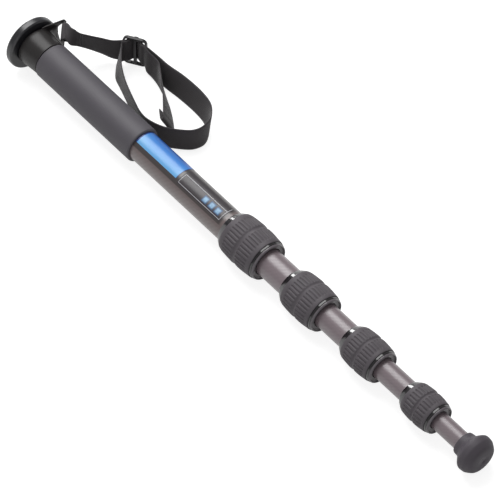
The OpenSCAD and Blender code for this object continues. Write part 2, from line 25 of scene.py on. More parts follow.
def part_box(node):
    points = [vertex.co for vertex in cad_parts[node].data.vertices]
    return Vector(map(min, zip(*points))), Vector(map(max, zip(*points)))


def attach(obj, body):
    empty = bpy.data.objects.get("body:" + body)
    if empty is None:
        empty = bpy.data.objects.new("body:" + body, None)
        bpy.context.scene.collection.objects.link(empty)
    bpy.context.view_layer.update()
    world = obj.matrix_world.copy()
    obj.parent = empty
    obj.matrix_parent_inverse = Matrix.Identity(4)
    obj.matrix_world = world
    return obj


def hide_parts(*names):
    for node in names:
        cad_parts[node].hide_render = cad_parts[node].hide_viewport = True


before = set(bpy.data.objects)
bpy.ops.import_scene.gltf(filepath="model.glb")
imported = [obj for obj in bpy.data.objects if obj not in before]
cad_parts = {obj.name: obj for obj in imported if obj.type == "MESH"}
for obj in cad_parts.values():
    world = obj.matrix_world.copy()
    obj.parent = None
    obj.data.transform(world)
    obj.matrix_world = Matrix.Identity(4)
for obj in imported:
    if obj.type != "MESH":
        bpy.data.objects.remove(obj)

LOG = logging.getLogger("monopod")
MM = 0.001
TURN = 2 * math.pi
LEGS = range(2, 6)
LOCK_RIBS = (36, 34, 32, 28)
Colour = tuple[float, float, float]
Triple = tuple[float, float, float]
Profile = tuple[tuple[float, float], ...]
Number = "float | Value"
Piece = bpy.types.Object
Socket = bpy.types.NodeSocket


def operator(operation: str, swapped: bool = False) -> Callable[..., Value]:
    """Makes an operator or a method of Value.

    Args:
        operation: the operation of the Math node that it adds.
        swapped: whether the value itself is the last operand.

    Returns:
        The method.
    """

    def method(value: Value, *others: Number) -> Value:
        """Adds the node."""
        operands = (*others, value) if swapped else (value, *others)
        return value.paint.maths(operation, *operands)

    return method


@dataclass(frozen=True)
class Value:
    """A number that changes over a surface. Arithmetic on it adds Math nodes."""

    paint: Paint
    socket: Socket

    __add__ = __radd__ = operator("ADD")
    __sub__ = operator("SUBTRACT")
    __rsub__ = operator("SUBTRACT", swapped=True)
    __mul__ = __rmul__ = operator("MULTIPLY")
    __truediv__ = operator("DIVIDE")
    __pow__ = operator("POWER")
    __mod__ = operator("FLOORED_MODULO")
    __gt__ = operator("GREATER_THAN")
    __lt__ = operator("LESS_THAN")
    __abs__ = operator("ABSOLUTE")
    floor = operator("FLOOR")
    fraction = operator("FRACT")
    sine = operator("SINE")

    def within(self, low: Number, high: Number, soft: float = 0.0) -> Value:
        """Mask that is 1 from low to high.

        Args:
            low: where the mask starts.
            high: where it ends.
            soft: how far outside it fades to 0.

        Returns:
            The mask.
        """
        if soft == 0:
            return (self > low) * (self < high)
        rise = self.paint.fade(self, low - soft, low)
        return rise * (1 - self.paint.fade(self, high, high + soft))


class Paint:
    """One material while its nodes are made."""

    def __init__(self, name: str) -> None:
        """Starts a material with the standard surface.

        Args:
            name: the material's name.
        """
        self.material = bpy.data.materials.new(name)
        self.material.use_nodes = True
        self.tree = self.material.node_tree
        self.surface = self.tree.nodes["Principled BSDF"]

    def node(
        self, kind: str, sockets: dict | None = None, settings: dict[str, object] | None = None
    ) -> bpy.types.Node:
        """Adds one node.

        Args:
            kind: the node's type.
            sockets: a value or a link for each input, by name or number.
            settings: its properties, set first. "stops" holds a ramp's places and colours.

        Returns:
            The node.
        """
        made = self.tree.nodes.new(kind)
        for name, value in (settings or {}).items():
            if name == "stops":
                self._stops(made.color_ramp, value)
            else:
                setattr(made, name, value)
        for name, value in (sockets or {}).items():
            self.feed(made.inputs[name], value)
        return made

    def value(self, output: str | int, *node: object) -> Value:
        """One output of a new node, which the other arguments describe."""
        return Value(self, self.node(*node).outputs[output])

    @staticmethod
    def _stops(ramp: bpy.types.ColorRamp, stops: Sequence[tuple[float, Colour]]) -> None:
        """Sets a ramp's stops.

        Args:
            ramp: the ramp, which starts with two.
            stops: places from 0 to 1 with their colours.
        """
        while len(ramp.elements) < len(stops):
            ramp.elements.new(1.0)
        for element, (place, colour) in zip(ramp.elements, stops):
            element.position = place
            element.color = (*colour, 1.0)

    def feed(self, socket: Socket, value: object) -> None:
        """Links or sets an input.

        Args:
            socket: the input.
            value: a Value, an output socket, or plain numbers.
        """
        if isinstance(value, Value):
            value = value.socket
        if isinstance(value, Socket):
            self.tree.links.new(value, socket)
        elif isinstance(value, tuple) and socket.type == "RGBA":
            socket.default_value = (*value, 1.0)
        else:
            socket.default_value = value

    def maths(self, operation: str, *operands: Number) -> Value:
        """The result of a Math node."""
        return self.value(0, "ShaderNodeMath", dict(enumerate(operands)), {"operation": operation})

    def fade(self, value: Value, start: Number, end: Number) -> Value:
        """Goes smoothly from 0, where the value is at the start, to 1 at the end."""
        sockets = {"Value": value, "From Min": start, "From Max": end}
        return self.value(
            "Result", "ShaderNodeMapRange", sockets, {"interpolation_type": "SMOOTHSTEP"}
        )

    def place(self) -> Socket:
        """The point in the piece's own frame, in metres."""
        return self.node("ShaderNodeTexCoord").outputs["Object"]

    def along(self, axis: str) -> Value:
        """One coordinate of the point, in metres."""
        return self.value(axis, "ShaderNodeSeparateXYZ", {0: self.place()})

    def roll(self) -> Value:
        """Angle about the tube's axis, in radians from +Y towards +Z."""
        return self.maths("ARCTAN2", self.along("Z"), self.along("Y"))

    def attribute(self, name: str) -> Value:
        """A number that the mesh holds at its points."""
        return self.value("Fac", "ShaderNodeAttribute", None, {"attribute_name": name})

    def noise(self, scale: float, detail: float, stretch: Triple = (1.0, 1.0, 1.0)) -> Value:
        """Cloudy noise from about 0 to 1.

        Args:
            scale: features per metre.
            detail: finer layers.
            stretch: factor on each axis.

        Returns:
            The noise.
        """
        moved = self.node(
            "ShaderNodeVectorMath", {0: self.place(), 1: stretch}, {"operation": "MULTIPLY"}
        )
        sockets = {"Vector": moved.outputs[0], "Scale": scale, "Detail": detail}
        return self.value("Fac", "ShaderNodeTexNoise", sockets)

    def mix(self, share: Number, first: object, second: object) -> Socket:
        """Mixes two colours or colour sockets. A share of 0 gives the first."""
        sockets = {0: share, 6: first, 7: second}
        return self.node("ShaderNodeMix", sockets, {"data_type": "RGBA"}).outputs[2]

    def bump(self, height: Value, finish: Finish) -> None:
        """Gives the surface the finish's relief, at its highest where the height is 1."""
        sockets = {"Height": height, "Distance": finish.relief, "Strength": finish.strength}
        self.set(Normal=self.node("ShaderNodeBump", sockets).outputs["Normal"])

    def set(self, **sockets: object) -> None:
        """Sets the surface's inputs, named with _ for a space."""
        for name, value in sockets.items():
            self.feed(self.surface.inputs[name.replace("_", " ")], value)


@dataclass(frozen=True)
class Finish(ABC):
    """A finish, whose look each kind of finish makes in dress.

    Pale is the factor of its paler colour, spread how far its roughness varies, relief
    how far it stands out, and strength the share of that which shows.
    """

    name: str
    colour: Colour
    roughness: float
    pale: float = 1.5
    spread: float = 0.1
    relief: float = 0.02 * MM
    strength: float = 0.4

    @abstractmethod
    def dress(self, paint: Paint) -> None:
        """Makes the nodes."""

    def shade(self, factor: float) -> Colour:
        """The finish's colour, paler where the factor is over 1."""
        return tuple(min(1.0, factor * c) for c in self.colour)

    def skin(self, paint: Paint, share: Value, rough: Value, **sockets: object) -> None:
        """Sets a colour and a roughness that vary, and any other inputs.

        Args:
            paint: the material.
            share: share of the paler colour.
            rough: what varies the roughness, from 0 to 1.
            sockets: the other inputs.
        """
        paint.set(
            Base_Color=paint.mix(share, self.colour, self.shade(self.pale)),
            Roughness=self.roughness + self.spread * (rough - 0.5),
            **sockets,
        )


@dataclass(frozen=True)
class Anodised(Finish):
    """Satin black anodised aluminium with a fine blasted grain."""

    spread: float = 0.16
    gloss: float = 0.9
    clouds: float = 45.0
    grains: float = 2600.0
    grain_share: float = 0.375

    def dress(self, paint: Paint) -> None:
        """Makes the nodes."""
        cloud = paint.noise(self.clouds, 2.0)
        grain = paint.noise(self.grains, 2.0)
        rough = (1 - self.grain_share) * cloud + self.grain_share * grain
        self.skin(paint, cloud, rough, Specular_IOR_Level=self.gloss)
        paint.bump(grain, self)


@dataclass(frozen=True)
class GlossPaint(Finish):
    """Gloss black enamel with faint waviness."""

    spread: float = 0.05
    waves: float = 120.0

    def dress(self, paint: Paint) -> None:
        """Makes the nodes."""
        wave = paint.noise(self.waves, 1.0)
        paint.set(
            Base_Color=self.colour,
            Roughness=self.roughness + self.spread * wave,
            Coat_Weight=0.6, Coat_Roughness=0.05,
        )
        paint.bump(wave, self)


@dataclass(frozen=True)
class Foam(Finish):
    """Dense closed-cell foam with its fine open skin."""

    pale: float = 1.25
    relief: float = 0.12 * MM
    strength: float = 0.6
    cells: float = 1700.0
    clouds: float = 60.0

    def dress(self, paint: Paint) -> None:
        """Makes the nodes."""
        sockets = {"Vector": paint.place(), "Scale": self.cells}
        cell = paint.value("Distance", "ShaderNodeTexVoronoi", sockets)
        cloud = paint.noise(self.clouds, 3.0)
        self.skin(paint, 0.6 * cloud + 0.4 * cell, cell, Specular_IOR_Level=0.65)
        paint.bump(cell + 0.5 * cloud, self)


@dataclass(frozen=True)
class CarbonWeave(Finish):
    """Clear-coated carbon fibre: a two-by-two twill of flat tows round the tube.

    The painted shade is a darker band beside the labels, given by its ends along X and its lowest
    and highest roll.
    """

    dark: float = 0.72
    pale: float = 1.3
    # How dark the painted shade beside the labels is, as a factor on the colour.
    film: float = 0.28
    strength: float = 0.16
    weights: Triple = (0.13, 0.57, 0.3)
    tow: float = 1.1 * MM
    across: int = 72
    streaks: float = 420.0
    clouds: float = 70.0
    shade_patch: tuple[tuple[float, float], tuple[float, float]] | None = None
    patch_soft: tuple[float, float] = (3 * MM, math.radians(3))

    def dress(self, paint: Paint) -> None:
        """Makes the nodes."""
        x, roll = paint.along("X"), paint.roll()
        row, column = x / self.tow, roll * (self.across / TURN)
        over = ((row.floor() + column.floor()) % 4.0) < 1.5
        crown = over * (column.fraction() * math.pi).sine()
        crown = crown + (1 - over) * (row.fraction() * math.pi).sine()
        streak = paint.noise(self.streaks, 3.0, (0.03, 1.0, 1.0))
        cloud = paint.noise(self.clouds, 3.0, (0.35, 1.0, 1.0))
        weave_part, streak_part, cloud_part = self.weights
        share = weave_part * over + streak_part * streak + cloud_part * cloud
        shade = paint.mix(share, self.shade(self.dark), self.shade(self.pale))
        # Painted shade: the tube is painted darker beside the labels.
        if self.shade_patch:
            (start, end), (low, high) = self.shade_patch
            mask = x.within(start, end, self.patch_soft[0])
            mask = mask * roll.within(low, high, self.patch_soft[1])
            shade = paint.mix(mask, shade, self.shade(self.film))
        paint.set(
            Base_Color=shade,
            Roughness=self.roughness + 0.08 * (1 - over) + 0.1 * (streak - 0.5),
            Specular_IOR_Level=0.7, Coat_Weight=1.0, Coat_Roughness=0.33,
        )
        paint.bump(crown, self)


@dataclass(frozen=True)
class BlueFilm(Finish):
    """Label film from pale blue along its upturned edge to deep blue: part print, part painted
    light.
    """

    spread: float = 0.05
    relief: float = 0.01 * MM
    strength: float = 0.3
    dark: Colour = (0.004, 0.012, 0.06)
    deep: Colour = (0.006, 0.045, 0.28)
    royal: Colour = (0.016, 0.11, 0.46)
    pale: Colour = (0.10, 0.40, 0.85)
    palest: Colour = (0.15, 0.47, 0.87)
    start: float = 0.1538
    end: float = 0.2053
    low: float = math.radians(3)
    high: float = math.radians(122)
    start_fade: float = 14 * MM
    end_fade: float = 10 * MM
    start_rim: float = 1.5 * MM
    end_rim: float = 0.6 * MM
    rim_soft: float = 0.5 * MM
    grains: float = 1500.0

    def dress(self, paint: Paint) -> None:
        """Makes the nodes."""
        x = paint.along("X")
        # Part print, part painted light: paler on the edge that faces up into the light, deeper
        # blue on the side turned away from it.
        share = (paint.roll() - self.low) / (self.high - self.low)
        ends = 1 - paint.fade(x, self.start, self.start + self.start_fade)
        ends = ends + 0.7 * paint.fade(x, self.end - self.end_fade, self.end)
        print_and_light_share = share + 0.16 * ends * share
        stops = (
            (0.0, self.dark), (0.12, self.deep), (0.32, self.royal),
            (0.58, self.colour), (0.84, self.pale), (1.0, self.palest),
        )
        ramp = paint.node("ShaderNodeValToRGB", {0: print_and_light_share}, {"stops": stops})
        inside = x.within(self.start + self.start_rim, self.end - self.end_rim, self.rim_soft)
        grain = paint.noise(self.grains, 1.0)
        paint.set(
            Base_Color=paint.mix(inside, self.deep, ramp.outputs["Color"]),
            Roughness=self.roughness + self.spread * grain,
            Specular_IOR_Level=0.6, Coat_Weight=0.6, Coat_Roughness=0.26,
        )
        paint.bump(grain, self)


@dataclass(frozen=True)
class FramedFilm(Finish):
    """Black label film with a thin white frame, a dividing line and three pale squares."""

    start: float = 0.2079
    end: float = 0.2619
    roll_low: float = math.radians(61.6)
    roll_high: float = math.radians(130)
    divide: float = math.radians(86.5)
    ink: Colour = (0.62, 0.62, 0.66)
    panel_light: Colour = (0.066, 0.056, 0.064)
    square: Colour = (0.03, 0.075, 0.19)
    square_light: Colour = (0.34, 0.60, 0.86)
    squares: tuple[float, ...] = (0.2360, 0.2440, 0.2515)
    square_side: float = 6.2 * MM
    square_low: float = math.radians(94.5)
    square_high: float = math.radians(119.5)
    square_edge: tuple[float, float] = (0.1 * MM, 0.01)
    square_glow: tuple[float, float] = (2 * MM, 0.13)
    line: float = 0.4 * MM
    tube_r: float = 14.1 * MM
    start_margin: float = 1.2 * MM
    end_margin: float = 1.0 * MM
    side_margin: float = 0.88 * MM
    clouds: float = 420.0
    streaks: float = 160.0

    def dress(self, paint: Paint) -> None:
        """Makes the nodes."""
        x = paint.along("X")
        roll = paint.roll()
        thin = self.line / self.tube_r
        left = self.start + self.start_margin
        right = self.end - self.end_margin
        top = self.roll_high - self.side_margin / self.tube_r
        in_x = x.within(left, right)
        lines = roll.within(top - thin, top) * in_x
        lines = lines + roll.within(self.divide, self.divide + thin) * in_x
        in_roll = roll.within(self.roll_low, top)
        lines = lines + x.within(right - self.line, right) * in_roll
        below = roll.within(self.divide, top)
        lines = lines + x.within(left, left + self.line) * below
        mark, core = 0.0, 0.0
        (edge_x, edge_roll), (glow_x, glow_roll) = self.square_edge, self.square_glow
        low, high = self.square_low, self.square_high
        rows = roll.within(low, high, edge_roll)
        heart = roll.within(low + glow_roll, high - glow_roll, glow_roll)
        for place in self.squares:
            end = place + self.square_side
            mark = x.within(place, end, edge_x) * rows + mark
            core = x.within(place + glow_x, end - glow_x, glow_x) * heart + core
        cloud = paint.noise(self.clouds, 2.0)
        shade = paint.mix(core * (0.5 + 0.7 * cloud), self.square, self.square_light)
        streak = paint.noise(self.streaks, 3.0, (0.2, 1.0, 1.0))
        panel = paint.mix(streak, self.colour, self.panel_light)
        base = paint.mix(mark, panel, shade)
        paint.set(
            Base_Color=paint.mix(paint.maths("MINIMUM", lines, 1.0), base, self.ink),
            Roughness=self.roughness + self.spread * mark,
            Specular_IOR_Level=0.55, Coat_Weight=0.4, Coat_Roughness=0.36,
        )


@dataclass(frozen=True)
class Webbing(Finish):
    """Woven nylon webbing: warp ribs along its length, crossed by fine picks."""

    dark: float = 0.55
    pale: float = 1.4
    relief: float = 0.16 * MM
    strength: float = 0.7
    rib: float = 1.05 * MM
    pick: float = 0.95 * MM
    fuzzes: float = 700.0
    clouds: float = 22.0

    def dress(self, paint: Paint) -> None:
        """Makes the nodes."""
        along = paint.attribute("along") / self.pick
        across = paint.attribute("across") / self.rib
        slant = (across.fraction() - 0.5) * (((across.floor() % 2.0) * 2.0) - 1.0)
        weave = abs(((along + slant) * math.pi).sine())
        rib = (across.fraction() * math.pi).sine()
        height = 0.6 * weave + 0.4 * rib
        fuzz = paint.noise(self.fuzzes, 3.0)
        cloud = paint.noise(self.clouds, 2.0)
        share = 0.75 * height + 0.25 * fuzz
        shade = paint.mix(share, self.shade(self.dark), self.shade(self.pale))
        paint.set(
            Base_Color=paint.mix(0.4 * cloud, shade, self.colour),
            Roughness=self.roughness + self.spread * (fuzz - 0.5),
            Sheen_Weight=0.3, Sheen_Roughness=0.4,
        )
        paint.bump(height, self)


@dataclass(frozen=True)
class Moulded(Finish):
    """Moulded plastic with a faint flow in its colour and a fine spark-eroded skin."""

    pale: float = 1.15
    spread: float = 0.08
    relief: float = 0.015 * MM
    strength: float = 0.5
    grains: float = 1800.0
    clouds: float = 90.0
    detail: float = 2.0

    def dress(self, paint: Paint) -> None:
        """Makes the nodes."""
        cloud = paint.noise(self.clouds, self.detail)
        self.skin(paint, cloud, cloud)
        paint.bump(paint.noise(self.grains, self.detail), self)


@dataclass(frozen=True)
class Rubber(Moulded):
    """Moulded rubber with a fine matt grain and a dusty bloom."""

    pale: float = 1.3
    spread: float = 0.12
    relief: float = 0.05 * MM
    strength: float = 0.6
    grains: float = 1900.0
    clouds: float = 50.0
    detail: float = 3.0


@dataclass(frozen=True)
class RingedPad(Finish):
    """Rubber pad with fine raised rings round the screw."""

    relief: float = 0.3 * MM
    strength: float = 0.8
    pitch: float = 1.5 * MM
    grains: float = 2200.0

    def dress(self, paint: Paint) -> None:
        """Makes the nodes."""
        y, z = paint.along("Y"), paint.along("Z")
        radius = (y * y + z * z) ** 0.5
        ring = ((radius / self.pitch) * TURN).sine() * 0.5 + 0.5
        grain = paint.noise(self.grains, 2.0)
        self.skin(paint, ring, grain)
        paint.bump(ring + 0.15 * grain, self)


@dataclass(frozen=True)
class TurnedMetal(Finish):
    """Machined metal with fine turning marks along the axis."""

    pale: float = 1.12
    spread: float = 0.12
    relief: float = 0.01 * MM
    strength: float = 0.5
    pitch: float = 0.12 * MM
    clouds: float = 150.0

    def dress(self, paint: Paint) -> None:
        """Makes the nodes."""
        marks = paint.noise(1.0 / self.pitch, 1.0, (1.0, 0.02, 0.02))
        cloud = paint.noise(self.clouds, 2.0)
        self.skin(paint, cloud, marks, Metallic=1.0)
        paint.bump(marks, self)


class Look(Enum):
    """The finishes of this object's pieces."""

    PLATE = Anodised("plate_anodised", (0.011, 0.011, 0.014), 0.30)
    COLLAR = Anodised("collar_anodised", (0.021, 0.019, 0.019), 0.34, gloss=0.4)
    PAD = RingedPad("pad_ringed_rubber", (0.022, 0.022, 0.024), 0.8)
    SCREW = TurnedMetal("screw_plated", (0.58, 0.58, 0.60), 0.28)
    GRUB = TurnedMetal("grub_black_oxide", (0.05, 0.05, 0.055), 0.4)
    TOP_TUBE = CarbonWeave(
        "carbon_twill_top", (0.160, 0.120, 0.118), 0.34,
        # painted shade: a darker band on the tube beside the labels
        shade_patch=((0.1538, 0.2620), (math.radians(20), math.radians(138))),
    )
    # Painted light: paler than the top tube, for the light that the thinner tubes reflect.
    TUBE = CarbonWeave("carbon_twill", (0.226, 0.178, 0.196), 0.34)
    FOAM = Foam("foam_skin", (0.080, 0.074, 0.086), 0.55)
    BLUE = BlueFilm("film_blue", (0.045, 0.25, 0.76), 0.34)
    FRAMED = FramedFilm("film_framed", (0.030, 0.025, 0.028), 0.38)
    WEBBING = Webbing("webbing_nylon", (0.060, 0.054, 0.058), 0.8)
    THREAD = Rubber("thread_nylon", (0.14, 0.135, 0.142), 0.75, grains=2500.0)
    SLIDER = Moulded("slider_moulded", (0.016, 0.015, 0.017), 0.34)
    LOCK = GlossPaint("lock_gloss", (0.012, 0.010, 0.012), 0.14)
    COLLET = Moulded("collet_acetal", (0.72, 0.72, 0.69), 0.5)
    GRIP = Rubber("grip_ribbed_rubber", (0.090, 0.079, 0.089), 0.55)
    SEAL = Moulded("lip_satin", (0.135, 0.120, 0.132), 0.2)
    INSERT = TurnedMetal("insert_aluminium", (0.65, 0.65, 0.67), 0.35)
    FOOT = Rubber(
        "foot_moulded_rubber", (0.076, 0.066, 0.079), 0.56, grains=1200.0, relief=0.03 * MM
    )

    @cache
    def paint(self) -> bpy.types.Material:
        """Makes the material, the first time it is asked for.

        Returns:
            The material.
        """
        paint = Paint(self.value.name)
        self.value.dress(paint)
        return paint.material


def new_object(name: str, data: bpy.types.ID) -> Piece:
    """Adds an object to the scene.

    Args:
        name: its name.
        data: its mesh, lamp or camera.

    Returns:
        The new object.
    """
    made = bpy.data.objects.new(name, data)
    bpy.context.scene.collection.objects.link(made)
    return made


class Mesh:
    """Points and faces while a piece's mesh is made."""

    def __init__(self) -> None:
        """Starts with nothing."""
        self.points: list[Sequence[float]] = []
        self.faces: list[tuple[int, ...]] = []

    def grid(self, rows: np.ndarray, closed: bool = False) -> int:
        """Adds rings of points with the faces from each ring to the next.

        Args:
            rows: points as rings, places round the ring and three coordinates.
            closed: whether the last ring joins the first.

        Returns:
            The number of the grid's first point.
        """
        first = len(self.points)
        count, width = rows.shape[:2]
        self.points.extend(map(tuple, rows.reshape(-1, 3)))
        for i in range(count if closed else count - 1):
            for k in range(width):
                a, b = first + i * width, first + ((i + 1) % count) * width
                n = (k + 1) % width
                self.faces.append((a + k, a + n, b + n, b + k))
        return first

    def piece(self, name: str, look: Look) -> Piece:
        """Makes the object, with its faces turned outwards and shaded smooth.

        Args:
            name: the piece's name.
            look: its finish.

        Returns:
            The new object.
        """
        data = bpy.data.meshes.new(name)
        data.from_pydata(self.points, [], self.faces)
        work = bmesh.new()
        work.from_mesh(data)
        bmesh.ops.recalc_face_normals(work, faces=work.faces)
        for face in work.faces:
            face.smooth = True
        work.to_mesh(data)
        work.free()
        data.materials.append(look.paint())
        return new_object(name, data)


def smooth_line(points: Sequence[Sequence[float]], steps: int) -> np.ndarray:
    """Runs a smooth curve through points.

    Args:
        points: rows of numbers.
        steps: steps from one row to the next.

    Returns:
        The curve's rows.
    """
    rows = np.array(points, dtype=float)
    last = len(rows) - 1
    out = []
    for i in range(last):
        a, b = rows[max(i - 1, 0)], rows[i]
        c, d = rows[i + 1], rows[min(i + 2, last)]
        for k in range(steps):
            t = k / steps
            out.append(
                0.5 * (2 * b + (c - a) * t + (2 * a - 5 * b + 4 * c - d) * t * t
                       + (3 * b - a - 3 * c + d) * t**3)
            )
    out.append(rows[last])
    return np.array(out)


def full_turn(count: int) -> np.ndarray:
    """Angles that are spread evenly over a full turn."""
    return np.arange(count) * TURN / count


def unit(vectors: np.ndarray) -> np.ndarray:
    """Brings vectors to a length of 1."""
    return vectors / np.linalg.norm(vectors, axis=-1, keepdims=True)


def rings(x: np.ndarray, radius: np.ndarray) -> np.ndarray:
    """Sets rings of points about the tube's axis.

    Args:
        x: each ring's place along X.
        radius: the radius of each ring, at each of its points.

    Returns:
        Rings of points.
    """
    angles = full_turn(radius.shape[1])
    level = np.broadcast_to(x[:, None], radius.shape)
    return np.stack([level, radius * np.cos(angles), radius * np.sin(angles)], axis=-1)


def revolve(profile: Sequence[Sequence[float]], count: int) -> np.ndarray:
    """Turns a profile, rows of place along X and radius, into rings of points."""
    rows = np.array(profile, dtype=float)
    return rings(rows[:, 0], np.repeat(rows[:, 1:], count, axis=1))


def softened(node: str, name: str, look: Look, voxel: float, rounds: int) -> Piece:
    """Copies a CAD node's solid into a new piece with softly rounded edges.

    Args:
        node: the CAD node.
        name: the piece's name.
        look: its finish.
        voxel: the remesh's step.
        rounds: how often it is smoothed.

    Returns:
        The new piece.
    """
    made = new_object(name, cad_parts[node].data.copy())
    made.data.materials.clear()
    made.data.materials.append(look.paint())
    remesh = made.modifiers.new("rounding", "REMESH")
    remesh.mode = "VOXEL"
    remesh.voxel_size = voxel
    remesh.use_smooth_shade = True
    smooth = made.modifiers.new("smoothing", "SMOOTH")
    smooth.factor = 0.5
    smooth.iterations = rounds
    graph = bpy.context.evaluated_depsgraph_get()
    baked = bpy.data.meshes.new_from_object(made.evaluated_get(graph))
    made.modifiers.clear()
    made.data = baked
    baked.polygons.foreach_set("use_smooth", [True] * len(baked.polygons))
    return made


def put(piece: Piece, body: str, slot: str, *replaced: str) -> None:
    """Rides a piece on its body, and hides the nodes that it stands for.

    Args:
        piece: the piece.
        body: the body.
        slot: the material slot; not used.
        replaced: the nodes, if any.
    """
    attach(piece, body)
    if replaced:
        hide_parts(*replaced)
    LOG.info("%s rides on %s", piece.name, body)


def paint_nodes(**looks: Look) -> None:
    """Gives CAD nodes their finishes.

    Args:
        looks: the finish of each node.
    """
    for node, look in looks.items():
        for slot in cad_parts[node].material_slots:
            slot.material = look.paint()
        LOG.info("%s wears %s", node, look.name)


@dataclass
class Head:
    """Camera plate with its pad and screw, and the collar with the strap's ear."""

    screw_r: float = 4.7625 * MM
    screw_pitch: float = 1.5875 * MM
    screw_thread: float = 0.8 * MM
    screw_out: float = 5 * MM
    screw_in: float = 1 * MM
    screw_chamfer: float = 0.8 * MM
    flank: float = 1.25
    crest: float = 0.12
    centre_r: float = 0.0005 * MM
    points_round: int = 72
    points_pitch: int = 12
    collar_voxel: float = 0.4 * MM
    collar_rounds: int = 5

    def threaded_screw(self) -> Piece:
        """Builds the screw with its real helical thread.

        Returns:
            The screw.
        """
        steps = int((self.screw_out + self.screw_in) / self.screw_pitch * self.points_pitch)
        x = np.linspace(-self.screw_out, self.screw_in, steps + 1)
        angles = full_turn(self.points_round)
        phase = (x[:, None] / self.screw_pitch - angles / TURN) % 1.0
        vee = np.abs(2 * phase - 1)
        depth = self.screw_thread * np.clip(self.flank * vee - self.crest, 0, 1)
        lead = np.clip(1 - (x + self.screw_out) / self.screw_chamfer, 0, 1)
        radius = self.screw_r - np.maximum(depth, self.screw_thread * lead[:, None])
        tip, root = (revolve([[end, self.centre_r]], self.points_round) for end in (x[0], x[-1]))
        mesh = Mesh()
        mesh.grid(np.concatenate([tip, rings(x, radius), root]))
        return mesh.piece("camera_screw_threaded", Look.SCREW)

    def build(self) -> None:
        """Makes and dresses the head."""
        paint_nodes(top_plate=Look.PLATE, plate_pad=Look.PAD, plate_grub_screw=Look.GRUB)
        put(self.threaded_screw(), "handle", "screw_steel", "camera_screw")
        collar = softened(
            "head_collar", "collar_with_ear", Look.COLLAR, self.collar_voxel, self.collar_rounds
        )
        put(collar, "handle", "plate_black", "head_collar")


@dataclass
class Tubes:
    """The five tubes with the foam grip and the two labels."""

    def build(self) -> None:
        """Dresses the tubes."""
        paint_nodes(top_tube=Look.TOP_TUBE, foam_grip=Look.FOAM)
        paint_nodes(blue_label=Look.BLUE, info_label=Look.FRAMED)
        for n in LEGS:
            paint_nodes(**{f"leg_tube_{n}": Look.TUBE, f"anti_twist_shims_{n}": Look.COLLET})


@dataclass
class TwistLock:
    """One twist lock: nut, ribbed rubber, lip, ferrule and collet."""

    number: int
    ribs: int
    rubber_t: float = 2.7 * MM
    rows: int = 66
    points_per_rib: int = 10
    groove_depth: float = 0.8 * MM
    groove_half: float = 0.30
    groove_flank: float = 0.75
    groove_rows: Profile = ((0.13, 0.455), (0.56, 0.90))
    profile: Profile = (
        (0.0, 1.75), (0.03, 1.35), (0.07, 0.98), (0.165, 0.62), (0.26, 0.32), (0.41, 0.0),
        (0.455, 0.05), (0.48, 0.85), (0.535, 0.9), (0.56, 0.12), (0.66, 0.06), (0.79, 0.35),
        (0.9, 0.8), (0.965, 0.98), (1.0, 1.3),
    )
    lip_in: float = 1.2 * MM
    lip_gap: float = 0.35 * MM
    lip_seat: float = 1.1 * MM
    lip_face: float = 0.5 * MM
    lip_slope: tuple[float, float] = (0.4 * MM, 0.3 * MM)
    lip_points: int = 128
    lip_steps: int = 3
    rim: Profile = (
        (0.0, 0.0), (0.6, 0.02), (1.2, 0.14), (1.7, 0.42), (1.95, 0.8), (1.9, 1.15),
        (1.6, 1.4), (1.1, 1.6), (0.6, 2.0),
    )

    def recessed_lip(self) -> Piece:
        """Builds the lip round the open end: a thin rim with a recess inside it.

        Returns:
            The lip.
        """
        low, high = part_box(f"dust_seal_{self.number}")
        leg_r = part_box(f"leg_tube_{self.number + 1}")[1][2]
        inner, seat = leg_r + self.lip_gap, leg_r + self.lip_seat
        end = low[0] + self.lip_in
        rim = [(end + out * MM, high[2] - drop * MM) for out, drop in self.rim]
        profile = [
            (low[0], inner), (low[0], seat), (end, seat),
            *smooth_line(rim, self.lip_steps),
            (end + self.lip_slope[0], seat + self.lip_slope[1]),
            (end + self.lip_face, inner),
        ]
        mesh = Mesh()
        mesh.grid(revolve(profile, self.lip_points), closed=True)
        return mesh.piece(f"dust_seal_{self.number}_lip", Look.SEAL)

    def ribbed_grip(self) -> Piece:
        """Builds the rubber sleeve with its two rows of grooves.

        Returns:
            The sleeve.
        """
        low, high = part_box(f"lock_grip_{self.number}")
        start, length = low[0], high[0] - low[0]
        full = high[2]
        inner = full - self.rubber_t
        share = np.linspace(0, 1, self.rows)
        spots = np.array(self.profile)
        drop = np.interp(share, spots[:, 0], spots[:, 1]) * MM
        drop = np.convolve(np.pad(drop, 1, mode="edge"), [0.25, 0.5, 0.25], mode="valid")
        count = self.ribs * self.points_per_rib
        angles = full_turn(count)
        phase = (angles * self.ribs / TURN) % 1.0 - 0.5
        pitch = TURN * full / self.ribs
        half = self.groove_half * pitch
        depth = np.zeros((self.rows, count))
        for row_start, row_end in self.groove_rows:
            a, b = row_start * length + half, row_end * length - half
            reach = np.maximum(np.maximum(a - share * length, share * length - b), 0)
            gap = np.hypot(reach[:, None], phase * pitch)
            fade = np.clip((half - gap) / (self.groove_flank * half), 0, 1)
            depth = np.maximum(depth, self.groove_depth * fade * fade * (3 - 2 * fade))
        outside = rings(start + share * length, full - drop[:, None] - depth)
        inside = revolve([(high[0], inner), (start, inner)], count)
        mesh = Mesh()
        mesh.grid(np.concatenate([outside, inside]), closed=True)
        return mesh.piece(f"lock_grip_{self.number}_ribbed", Look.GRIP)

    def build(self) -> None:
        """Makes and dresses the lock."""
        n = self.number
        paint_nodes(**{f"lock_collar_{n}": Look.LOCK, f"thread_ferrule_{n}": Look.LOCK})
        paint_nodes(**{f"collet_{n}": Look.COLLET})
        put(self.ribbed_grip(), f"lock_{n}", "grip_rubber", f"lock_grip_{n}")
        put(self.recessed_lip(), f"lock_{n}", "seal_grey", f"dust_seal_{n}")


